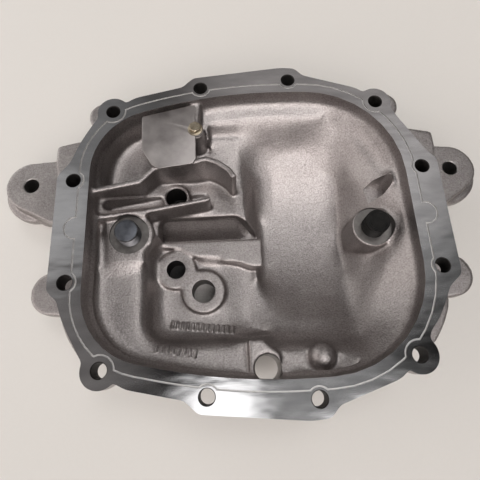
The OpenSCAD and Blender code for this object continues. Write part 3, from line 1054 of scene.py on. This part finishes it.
        over, short = self.past_wall, self.short_of_face
        for at in FLANGE_BOLTS:
            plug(at, self.bolt_r + over, self.bolt_pad_back, self.machining_stock)
        for at in self.ear_bores:
            plug(at, self.ear_bore_r + over, self.back + short, self.ear_top - short)
        for seat in self.plug_seats:
            plug(seat.at, self.spot_r + short / 2, seat.spot_z - self.spot_depth, seat.lip_z)
            plug(seat.at, self.plug_bore_r + over, self.plug_boss_z, seat.spot_z - short)
            plug(seat.at, self.seat_r + short, self.back, self.seat_z + over)
        for hole in self.drillings:
            plug(hole.at, hole.r + over, hole.floor - over, hole.mouth)
        right = self.plug_seats[1]
        x, y = right.at
        angles = [2 * math.pi * k / self.lip_sides for k in range(self.lip_sides)]
        ring = [(x + self.lip_r * math.cos(a), y + self.lip_r * math.sin(a)) for a in angles]
        fill.join(self.side.fill(ring, right.spot_z - self.spot_depth, right.lip_z))
        fill.join(self.side.fill(self.notch_fill, self.notch_z - 4 * over, self.notch_z - over))
        return fill.mesh("fill")

    def _softness(self, at: np.ndarray, outward: np.ndarray) -> np.ndarray:
        """How softly each point's edges are blended: 0 on ribs, bosses and rims, and 1 on the open bowl.

        Args:
            at: The points in metres.
            outward: The points' outward normals.

        Returns:
            One value from 0 to 1 a point.
        """
        x, y, z = (at / MM).T
        soft = grade(gap_to(self.crisp, x, y), 0.0, self.crisp_fade) * grade(-z, *self.soft_depth)
        inside = (np.abs(x) < self.pan_half[0]) & (np.abs(y) < self.pan_half[1])
        inside &= outward[:, 2] > self.least_facing
        return np.where(inside, soft * soft * (3 - 2 * soft), 0.0)

    def _blend(self, mesh: bpy.types.Mesh) -> None:
        """Grows the casting's rounded blends: hollows fill up, and edges lose only their sharpness.

        Args:
            mesh: The stock's even mesh, which is changed in place.
        """
        pairs = np.empty(2 * len(mesh.edges), dtype=np.int32)
        mesh.edges.foreach_get("vertices", pairs)
        net = Net(pairs[0::2], pairs[1::2], len(mesh.vertices))
        flat = np.empty(3 * net.count, dtype=np.float32)
        mesh.vertices.foreach_get("co", flat)
        at = flat.reshape(-1, 3).astype(np.float64)
        normals = np.empty(3 * net.count, dtype=np.float32)
        outward = normals.reshape(-1, 3)

        def refresh() -> None:
            """Puts the points into the mesh and reads its normals again."""
            mesh.vertices.foreach_set("co", at.astype(np.float32).ravel())
            mesh.update()
            mesh.vertex_normals.foreach_get("vector", normals)

        refresh()
        soft = self._softness(at, outward)
        in_hollow = self.hollow_pull[0] + self.hollow_pull[1] * soft
        on_edge = self.edge_pull[0] + self.edge_pull[1] * soft
        for step in range(self._passes(self.fillet_passes)):
            if step and step % self.normals_every == 0:
                refresh()
            pull = net.pull(at)
            hollow = np.einsum("ij,ij->i", pull, outward) > 0
            at += pull * np.where(hollow, in_hollow, on_edge)[:, None]
        self._press(at, outward)
        self._widen(at, net, soft)
        refresh()

    def _press(self, at: np.ndarray, outward: np.ndarray) -> None:
        """Presses the soft hollows into the bowl, fills the pocket's slope and raises the ticks.

        Args:
            at: The points in metres, which are changed.
            outward: The points' outward normals.
        """
        x, y, z = (at / MM).T
        open_side = grade(outward[:, 2], *self.facing) * grade(-z, *self.press_depth)
        open_side *= (np.abs(x) < self.bowl_half[0]) & (np.abs(y) < self.bowl_half[1])
        for hollow in self.hollows:
            at[:, 2] -= hollow.drop(x, y) * open_side * hollow.reached(z) * MM
        self.pocket.fill(at, outward)
        for row in self.ticks:
            at += outward * (row.lift(x, y) * open_side * MM)[:, None]

    def _widen(self, at: np.ndarray, net: Net, soft: np.ndarray) -> None:
        """Blends the broad valleys beside the trough further than the rest.

        Args:
            at: The points in metres, which are changed.
            net: The mesh's edges.
            soft: How softly each point's edges are blended.
        """
        x, y, _ = (at / MM).T
        share = grade(-gap_to(self.wide_blends, x, y), 0.0, self.wide_fade) * soft
        inner = share[net.a] + share[net.b] > 0
        a, b = net.a[inner], net.b[inner]
        used, packed = np.unique(np.concatenate((a, b)), return_inverse=True)
        part = Net(packed[: len(a)], packed[len(a):], len(used))
        weight = self.wide_pull * share[used][:, None]
        local = at[used]
        for _ in range(self._passes(self.wide_passes)):
            local += part.pull(local) * weight
        at[used] = local

    def _machine(self, piece: bpy.types.Object, groove: Shape) -> None:
        """Cuts every machined surface into the blended casting.

        Args:
            piece: The casting, which is changed.
            groove: The sealant groove's cutting shape.
        """
        half_x, half_y, thick = self.slab
        carved(piece, lifted(rectangle(half_x, half_y), 0.0, thick), Surface.FACED)
        tools = {surface: Shape() for surface in (Surface.BORED, Surface.DEEP, Surface.DRILLED)}
        r, wide = self.bolt_r, self.bolt_r + self.bolt_chamfer
        bolt_hole = turned([(r, BELOW), (r, -self.bolt_chamfer), (wide, 0.0), (wide, ABOVE)], HOLE_SIDES)
        # The bolt holes' walls take the near-black finish, which is painted shade.
        for at in FLANGE_BOLTS:
            tools[Surface.DEEP].join(bolt_hole.moved(*at))
        r, chamfer, clear = self.ear_bore_r, self.ear_chamfer, 2.0
        rows = [(r, BELOW), (r, self.ear_top - chamfer), (r + chamfer + clear, self.ear_top + clear)]
        for at in self.ear_bores:
            tools[Surface.BORED].join(turned(rows, HOLE_SIDES).moved(*at))
        # The seats take the DRILLED finish, whose darker tone is painted shade.
        for seat in self.plug_seats:
            rows = [(self.seat_r, BELOW), (self.seat_r, self.seat_z), (self.plug_bore_r, self.seat_z)]
            rows += [(self.plug_bore_r, seat.spot_z), (self.spot_r, seat.spot_z)]
            rows.append((self.spot_r, self.spot_top))
            tools[Surface.DRILLED].join(turned(rows, SEAT_SIDES).moved(*seat.at))
        for hole in self.drillings:
            point = hole.floor - self.drill_point * hole.r
            rows = [(0.0, point), (hole.r, hole.floor), (hole.r, self.drill_top)]
            tools[hole.surface].join(turned(rows, HOLE_SIDES).moved(*hole.at))
        drain = turned([(self.drain_r, BELOW), (self.drain_r, self.drain_top)])
        tools[Surface.BORED].join(drain.moved(*self.drain_at))
        for surface, tool in tools.items():
            carved(piece, tool, surface)
        carved(piece, lifted(rounded(self.notch), self.notch_z, self.notch_top), Surface.CAST)
        carved(piece, groove, Surface.GROOVE)
        log.info("casting: flange, bores, spot faces, notch and groove cut")


# The oil baffle


@dataclass
class OilBaffle:
    """The sheet steel plate over the oil box, and the screw that holds it.

    The screw's collar has its radius as a share of the head's width across the flats.
    """

    edge: float = 0.35
    top: float = -2.0
    screw_at: Point2 = (-38.6, 77.4)
    screw_af: float = 8.0
    screw_head: float = 4.2
    collar_t: float = 1.2
    collar_share: float = 0.72
    thread_r: float = 2.5
    thread_pitch: float = 0.8
    thread_length: float = 13.8
    overlap: float = 0.2

    def build(self) -> list[bpy.types.Object]:
        """Builds the plate and its screw.

        Returns:
            Both pieces.
        """
        plate = placed(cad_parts["baffle_plate"].data.copy(), "baffle_sheet", [])
        plate.data.materials.clear()
        plate.data.materials.append(SheetSteel().material())
        self._weld(plate.data)
        bend = math.radians(40)
        applied(plate, "BEVEL", width=self.edge * MM, segments=3, limit_method="ANGLE", angle_limit=bend)
        shaded(plate)
        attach(plate, "root")
        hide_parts("baffle_plate")
        return [plate, self._screw()]

    def _weld(self, mesh: bpy.types.Mesh) -> None:
        """Joins a CAD mesh's doubled points, so that its edges can be bevelled.

        Args:
            mesh: The copy of the CAD's mesh, which is changed.
        """
        bm = bmesh.new()
        bm.from_mesh(mesh)
        bmesh.ops.remove_doubles(bm, verts=bm.verts, dist=SAME_POINT)
        bmesh.ops.dissolve_limit(bm, angle_limit=math.radians(1), verts=bm.verts, edges=bm.edges)
        bm.to_mesh(mesh)
        bm.free()

    def _screw(self) -> bpy.types.Object:
        """The flanged hexagon screw, with its thread below the plate.

        Returns:
            The screw.
        """
        af, top, base = self.screw_af, self.top, self.top + self.collar_t
        head = hexagon_head(af, base - self.overlap, top + self.screw_head, chamfer=0.5)
        rim = self.collar_share * af
        rows = [(rim - 0.25, top), (rim, top + 0.3), (0.70 * af, top + 0.75), (0.56 * af, base), (0.0, base)]
        foot = top - self.thread_length
        thread = thread_profile(self.thread_r, self.thread_pitch, foot, top + self.overlap)
        shape = head.join(turned(rows)).join(turned(thread)).moved(*self.screw_at)
        screw = placed(shape.mesh("baffle_fixing"), "baffle_fixing", [ZINC.material()])
        shaded(screw, 30.0)
        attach(screw, "root")
        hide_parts("baffle_screw")
        return screw


def thread_profile(r: float, pitch: float, low: float, high: float) -> list[Point2]:
    """The profile of a ridged shank, which stands for its thread, with chamfered ends.

    Args:
        r: The outer radius.
        pitch: The distance from ridge to ridge.
        low: The lower end's height.
        high: The upper end's height.

    Returns:
        Radius and height pairs from the bottom up.
    """
    depth, chamfer = 0.54 * pitch, 0.3
    deep = r - depth
    ridge = ((deep, 0.1), (r, 0.45), (r, 0.6), (deep, 0.95))
    rows: list[Point2] = [(0.0, low), (deep - chamfer, low), (deep, low + chamfer)]
    z = low + chamfer
    while z + pitch < high - chamfer:
        rows += [(radius, z + share * pitch) for radius, share in ridge]
        z += pitch
    return [*rows, (deep, high - 0.2), (deep - chamfer, high), (0.0, high)]


def hexagon_head(across: float, low: float, high: float, chamfer: float = 0.8) -> Shape:
    """A hexagonal head whose corners are turned off at its upper end.

    Args:
        across: The width across the flats.
        low: The height of its foot.
        high: The height of its end, above or below the foot.
        chamfer: The height of the turned corners.

    Returns:
        The head.
    """
    sides, flat = 6 * 12, across / 2
    corner = flat / math.cos(math.pi / 6)
    turned_off = math.tan(math.radians(30))
    rise = math.copysign(chamfer, high - low)
    made = Shape()
    levels = ((low, 0.0), (high - rise, 0.0), (high - rise / 2, chamfer * 0.5), (high, chamfer))
    for z, cut in levels:
        limit = corner - cut / turned_off
        for k in range(sides):
            a = 2 * math.pi * k / sides
            off_flat = (a + math.pi / 6) % (math.pi / 3) - math.pi / 6
            r = min(flat / math.cos(off_flat), limit)
            made.points.append((r * math.cos(a), r * math.sin(a), z))
    rings = [list(range(start, start + sides)) for start in range(0, len(levels) * sides, sides)]
    faces = [
        (lower[k], lower[(k + 1) % sides], upper[(k + 1) % sides], upper[k])
        for lower, upper in zip(rings, rings[1:]) for k in range(sides)
    ]
    faces += [tuple(reversed(rings[0])), tuple(rings[-1])]
    made.faces = faces if high > low else [tuple(reversed(face)) for face in faces]
    return made


# The plugs


@dataclass
class ScrewPlug:
    """A screwed plug: its shank inside, its collar on a seal and its head outside."""

    name: str
    node: str
    seal_node: str
    finish: DullMetal
    slot: str
    at: Point2
    shank_r: float = 8.8
    thread_pitch: float = 1.5
    tip: float = -10.0
    back: float = -72.0
    head_af: float = 24.0
    head_t: float = 6.5
    collar_r: float = 14.0
    collar_t: float = 2.0
    seal_t: float = 1.5
    pocket_r: float = 0.0
    pocket_depth: float = 5.0

    def build(self) -> list[bpy.types.Object]:
        """Builds the plug and its seal.

        Returns:
            The pieces.
        """
        foot, r = self.back + self.head_t, self.collar_r
        top = foot + self.collar_t
        plug = hexagon_head(self.head_af, foot + 0.2, self.back, chamfer=1.2)
        collar = [(0.0, foot), (r - 0.4, foot), (r, foot + 0.4), (r, top - 0.3), (r - 0.3, top), (0.0, top)]
        plug.join(turned(collar)).join(self._shank(top - 0.2))
        piece = placed(plug.moved(*self.at).mesh(self.name), self.name, [self.finish.material()])
        shaded(piece, 30.0)
        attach(piece, "root")
        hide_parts(self.node)
        return [piece, self._seal(top)]

    def _shank(self, low: float) -> Shape:
        """The threaded shank, with a chamfered tip and, where there is one, the magnet's pocket.

        Args:
            low: The height of its foot.

        Returns:
            The shank.
        """
        r, tip, plain = self.shank_r, self.tip, 1.6
        thread = thread_profile(r, self.thread_pitch, low, tip - plain)[:-2]
        end = [(r - 0.8, tip - plain), (r - 0.1, tip - 1.0), (r - 0.1, tip - 0.35), (r - 0.45, tip)]
        if self.pocket_r:
            floor = tip - self.pocket_depth
            end += [(self.pocket_r, tip), (self.pocket_r, floor), (0.0, floor)]
        else:
            end += [(r - 2.0, tip), (r - 2.3, tip - 0.25), (0.0, tip - 0.25)]
        return turned([*thread, *end], PLUG_SIDES)

    def _seal(self, low: float) -> bpy.types.Object:
        """The sealing ring, with rounded rims.

        Args:
            low: The height of its foot.

        Returns:
            The ring.
        """
        inner, outer, high = self.shank_r + 0.2, self.collar_r - 0.4, low + self.seal_t
        ring = [(inner + 0.2, low), (outer - 0.3, low), (outer, low + 0.3), (outer, high - 0.3)]
        ring += [(outer - 0.3, high), (inner + 0.2, high), (inner, high - 0.2), (inner, low + 0.2)]
        seal = placed(hoop(ring).moved(*self.at).mesh("seal"), self.name + "_seal", [COPPER.material()])
        shaded(seal, 30.0)
        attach(seal, "root")
        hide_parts(self.seal_node)
        return seal


def hoop(section: Sequence[Point2], steps: int = SEAT_SIDES) -> Shape:
    """Turns a closed section about the Z axis into a ring.

    Args:
        section: Radius and height pairs round the section, anticlockwise.
        steps: Sides of the ring.

    Returns:
        The ring.
    """
    n = len(section)
    made = Shape()
    for k in range(steps):
        a = 2 * math.pi * k / steps
        made.points += [(r * math.cos(a), r * math.sin(a), z) for r, z in section]
    for k in range(steps):
        m = (k + 1) % steps
        made.faces += [(k * n + i, m * n + i, m * n + (i + 1) % n, k * n + (i + 1) % n) for i in range(n)]
    return made


@dataclass
class PlugMagnet:
    """The magnet in the level plug's tip."""

    at: Point2 = LEVEL_PLUG_AT
    r: float = 8.0
    top: float = -10.0
    height: float = 5.0

    def build(self) -> bpy.types.Object:
        """Builds the disc with its rounded rim.

        Returns:
            The disc.
        """
        r, top, low = self.r, self.top, self.top - self.height
        rows = [(0.0, low), (r - 0.2, low), (r, low + 0.2), (r, top - 0.35), (r - 0.12, top - 0.12)]
        rows += [(r - 0.4, top), (0.0, top)]
        shape = turned(rows, PLUG_SIDES).moved(*self.at)
        disc = placed(shape.mesh("magnet"), "magnet_disc", [MAGNET.material()])
        shaded(disc, 30.0)
        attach(disc, "root")
        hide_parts("plug_magnet")
        return disc


# The whole


@dataclass(frozen=True)
class Glow:
    """One soft patch of light in the room: where it is, how wide and how bright.

    It starts at one share of its reach from the middle and is full at another.
    """

    polar: float
    azimuth: float
    reach: float
    level: float
    colour: Colour = (1.0, 0.985, 0.975)
    starts: float = 1.3
    full: float = 0.5

    def towards(self) -> Point3:
        """The unit vector from the part to the patch."""
        polar, azimuth = math.radians(self.polar), math.radians(self.azimuth)
        return (math.sin(polar) * math.cos(azimuth), math.sin(polar) * math.sin(azimuth), math.cos(polar))

    def edge(self) -> Pair:
        """The cosines of the angles where the patch starts and where it is full."""
        start, full = self.starts * self.reach, self.full * self.reach
        return math.cos(math.radians(start)), math.cos(math.radians(full))


WARM: Colour = (1.0, 0.93, 0.90)

ROOM: tuple[Glow, ...] = (
    Glow(6.0, 246.0, 5.5, 2.1),
    Glow(17.0, 58.0, 9.0, 5.0),
    Glow(27.0, 313.0, 11.5, 3.6),
    Glow(26.0, 270.0, 12.0, 3.2),
    Glow(13.0, 345.0, 8.0, 0.3),
    Glow(44.0, 270.0, 18.0, 3.3, WARM),
    Glow(44.0, 315.0, 18.0, 0.6, WARM),
    Glow(26.0, 180.0, 13.0, 0.18, WARM),
    Glow(26.0, 45.0, 13.0, 0.3),
    Glow(44.0, 67.0, 22.0, 0.33, WARM),
    Glow(44.0, 135.0, 18.0, 0.24),
    Glow(32.0, 142.0, 7.0, 0.28),
    Glow(84.0, 30.0, 18.0, 0.4, WARM),
    Glow(84.0, 80.0, 18.0, 0.4, WARM),
    Glow(84.0, 330.0, 18.0, 0.15, WARM),
    Glow(84.0, 130.0, 18.0, 0.3, WARM),
    Glow(66.0, 225.0, 22.0, 1.6, WARM),
    Glow(66.0, 180.0, 22.0, 1.8, WARM),
)


@dataclass
class Studio:
    """The table, the light and the camera."""

    table_z: float = -72.0
    table_half: float = 1500.0
    table_t: float = 20.0
    fill: Colour = (0.01, 0.0095, 0.0092)
    wall: Colour = (0.62, 0.59, 0.55)
    key_at: Point3 = (-1.25, 1.05, 0.62)
    key_size: Pair = (0.7, 0.5)
    key_power: float = 4.0
    key_colour: Colour = (1.0, 0.985, 0.96)
    camera_at: Point3 = (-0.0134, -0.0978, 0.2618)
    camera_turns: tuple[tuple[float, str], ...] = ((-3.01, "Z"), (17.91, "X"), (0.26, "Z"))
    lens_mm: float = 30.0
    sensor_mm: float = 36.0

    def build(self) -> None:
        """Sets the whole studio up."""
        self._table()
        self._sky()
        self._lamp()
        self._camera()

    def _table(self) -> None:
        """The pale table top, which the part's back rests on."""
        half = self.table_half
        top = lifted(rectangle(half, half), self.table_z - self.table_t, self.table_z)
        table = placed(top.mesh("table"), "table", [TableTop().material()])

    def _sky(self) -> None:
        """Lights the room with soft patches on a dim ground, and shows the camera a pale wall past it."""
        world = bpy.data.worlds.new("room")
        bpy.context.scene.world = world
        world.use_nodes = True
        tree = world.node_tree
        sky = tree.nodes["Background"]
        place = tree.nodes.new("ShaderNodeTexCoord")
        total: bpy.types.NodeSocket | None = None
        for glow in ROOM:
            lean = tree.nodes.new("ShaderNodeVectorMath")
            lean.operation = "DOT_PRODUCT"
            lean.inputs[1].default_value = glow.towards()
            edge = tree.nodes.new("ShaderNodeMapRange")
            edge.interpolation_type = "SMOOTHSTEP"
            edge.inputs["From Min"].default_value, edge.inputs["From Max"].default_value = glow.edge()
            sum_up = tree.nodes.new("ShaderNodeVectorMath")
            sum_up.operation = "MULTIPLY_ADD"
            sum_up.inputs[1].default_value = tuple(glow.level * c for c in glow.colour)
            sum_up.inputs[2].default_value = self.fill
            tree.links.new(place.outputs["Generated"], lean.inputs[0])
            tree.links.new(lean.outputs["Value"], edge.inputs["Value"])
            tree.links.new(edge.outputs["Result"], sum_up.inputs[0])
            if total is not None:
                tree.links.new(total, sum_up.inputs[2])
            total = sum_up.outputs["Vector"]
        seen = tree.nodes.new("ShaderNodeLightPath")
        wall = tree.nodes.new("ShaderNodeMix")
        wall.data_type = "RGBA"
        wall.inputs["B"].default_value = (*self.wall, 1.0)
        tree.links.new(seen.outputs["Is Camera Ray"], wall.inputs["Factor"])
        tree.links.new(total, wall.inputs["A"])
        tree.links.new(wall.outputs["Result"], sky.inputs["Color"])
        sky.inputs["Strength"].default_value = 1.0

    def _lamp(self) -> None:
        """One wide, low lamp at the upper left, which throws the cover's shadow on the table."""
        lamp = bpy.data.lights.new("key", "AREA")
        lamp.shape = "RECTANGLE"
        lamp.size, lamp.size_y = self.key_size
        lamp.energy = self.key_power
        lamp.color = self.key_colour
        key = bpy.data.objects.new("key", lamp)
        key.location = self.key_at
        key.rotation_euler = (-key.location).to_track_quat("-Z", "Y").to_euler()
        bpy.context.scene.collection.objects.link(key)

    def _camera(self) -> None:
        """The photograph's camera, tilted towards the cover's lower edge."""
        lens = bpy.data.cameras.new("camera")
        lens.sensor_fit = "HORIZONTAL"
        lens.sensor_width = self.sensor_mm
        lens.lens = self.lens_mm
        lens.clip_start = 0.01
        camera = bpy.data.objects.new("camera", lens)
        turn = Matrix.Identity(4)
        for degrees, axis in self.camera_turns:
            turn = turn @ Matrix.Rotation(math.radians(degrees), 4, axis)
        camera.matrix_world = Matrix.Translation(self.camera_at) @ turn
        bpy.context.scene.collection.objects.link(camera)
        bpy.context.scene.camera = camera
        bpy.context.scene.view_settings.view_transform = "Standard"


def main() -> None:
    """Builds every sub-assembly in order and reports each."""
    logging.basicConfig(level=logging.INFO, format="%(relativeCreated)7d ms %(message)s", stream=sys.stdout)
    Studio().build()
    log.info("studio ready")
    magnet = PlugMagnet()
    pieces = [CoverCasting().build(), *OilBaffle().build(), magnet.build()]
    plugs = (
        ScrewPlug(
            "level_screw_plug", "level_plug", "level_plug_seal", PLUG_STEEL, "plug_steel", LEVEL_PLUG_AT,
            pocket_r=magnet.r, pocket_depth=magnet.height,
        ),
        ScrewPlug(
            "fill_screw_plug", "fill_plug", "fill_plug_seal", BLACKENED, "blackened_steel", FILL_PLUG_AT,
        ),
    )
    pieces += [piece for plug in plugs for piece in plug.build()]
    for piece in pieces:
        log.info("%s: %d faces", piece.name, len(piece.data.polygons))


if __name__ == "__main__":
    main()
